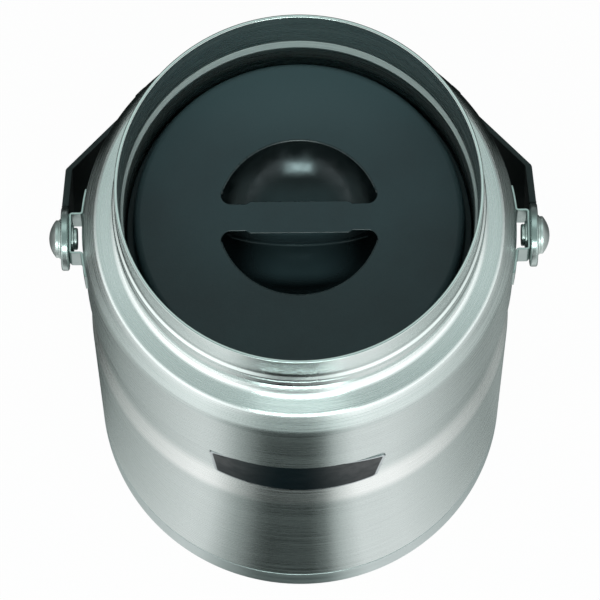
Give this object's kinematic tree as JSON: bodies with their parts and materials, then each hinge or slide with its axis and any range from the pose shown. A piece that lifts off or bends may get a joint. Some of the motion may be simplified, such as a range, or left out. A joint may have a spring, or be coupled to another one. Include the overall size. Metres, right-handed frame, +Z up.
{
  "type": "insulated food jar",
  "caption": "Wide double-walled steel food jar with a lift-out insulated stopper that has a recessed grip bar, and a strap carry handle that folds down.",
  "frame": {"origin": "centre of the flat face the jar stands on", "axes": "+Z up along the jar's axis to its mouth, -Y to the front with the badge, +X to the right-hand handle pivot; the handle lies folded down on +Y"},
  "size_m": [0.1386, 0.1374, 0.187],
  "materials": {
    "steel": "18/8 stainless sheet, brushed round the body, polished at the lip and beads",
    "seal_glass": "fused solder glass",
    "getter_metal": "pressed powder pill",
    "foil": "thin copper-coloured metal foil, plain",
    "badge_metal": "bright rolled edge",
    "badge_enamel": "bare black inlay, smooth",
    "rivet_steel": "turned stainless steel",
    "eye_steel": "stamped stainless steel, tumbled",
    "strap_coat": "black satin powder coat on a steel strap",
    "grip_plastic": "black moulded grip, fine matt texture",
    "lid_plastic": "dark grey moulded polypropylene, fine spark-eroded texture, glossy finger recesses",
    "foam": "rigid insulating foam, closed cells",
    "gasket_rubber": "moulded silicone ring, grey"
  },
  "bodies": {
    "jar": {"outer_casing": "steel", "inner_vessel": "steel", "casing_floor": "steel", "vacuum_seal": "seal_glass", "getter": "getter_metal", "heat_shield": "foil", "base_cover": "steel", "badge_plate": "badge_metal", "badge_face": "badge_enamel", "bracket_left": "steel", "bracket_right": "steel", "rivet_left": "rivet_steel", "rivet_right": "rivet_steel", "tail_washer_left": "rivet_steel", "tail_washer_right": "rivet_steel", "pivot_washer_left": "rivet_steel", "pivot_washer_right": "rivet_steel"},
    "handle": {"handle_eye_left": "eye_steel", "handle_eye_right": "eye_steel", "handle_bow": "strap_coat", "handle_grip": "grip_plastic"},
    "seal": {"lid_gasket": "gasket_rubber"},
    "lid": {"lid_top": "lid_plastic", "lid_base": "lid_plastic", "lid_foam": "foam"}
  },
  "joints": [
    {"name": "handle_swing", "type": "hinge", "parent": "jar", "child": "handle", "pos_m": [0, 0, 0.1459], "axis": [1, 0, 0], "range_deg": [0, 276]},
    {"name": "lid_lift", "type": "slide", "parent": "jar", "child": "seal", "axis": [0, 0, 1], "range_m": [0, 0.06]},
    {"name": "lid_turn", "type": "hinge", "parent": "seal", "child": "lid", "pos_m": [0, 0, 0.1505], "axis": [0, 0, 1], "continuous": true}
  ]
}
